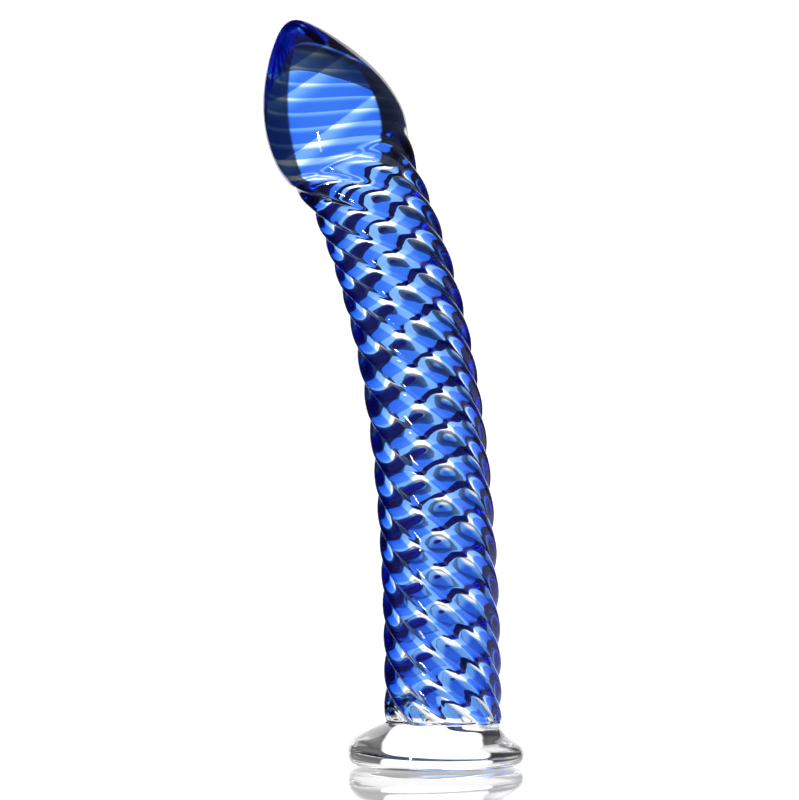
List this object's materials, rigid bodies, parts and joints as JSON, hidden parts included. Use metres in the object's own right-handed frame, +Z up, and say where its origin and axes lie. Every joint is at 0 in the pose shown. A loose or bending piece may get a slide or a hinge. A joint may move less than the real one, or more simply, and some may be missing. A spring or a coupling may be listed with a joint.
{
  "type": "glass dildo",
  "caption": "Solid glass adult wand: clear disc foot, bowed shaft of twisted blue ribs and a smooth blue egg-shaped head.",
  "frame": {"origin": "centre of the foot's flat underside, which is what it stands on", "axes": "+Z up along the shaft's foot end, and the shaft bows towards -X in the XZ plane, so +Y is across the bow"},
  "size_m": [0.0643, 0.0432, 0.1835],
  "materials": {
    "clear_foot_glass": "fire-polished clear glass",
    "clear_glass": "clear glass",
    "blue_glass": "fire-polished cobalt-blue glass"
  },
  "bodies": {
    "root": {"foot": "clear_foot_glass", "skirt": "clear_glass", "core_rod": "clear_glass", "cane_1": "blue_glass", "cane_2": "blue_glass", "cane_3": "blue_glass", "cane_4": "blue_glass", "cane_5": "blue_glass", "cane_6": "blue_glass", "cane_7": "blue_glass", "cane_8": "blue_glass", "cane_9": "blue_glass", "tip_bead": "blue_glass"}
  },
  "joints": []
}
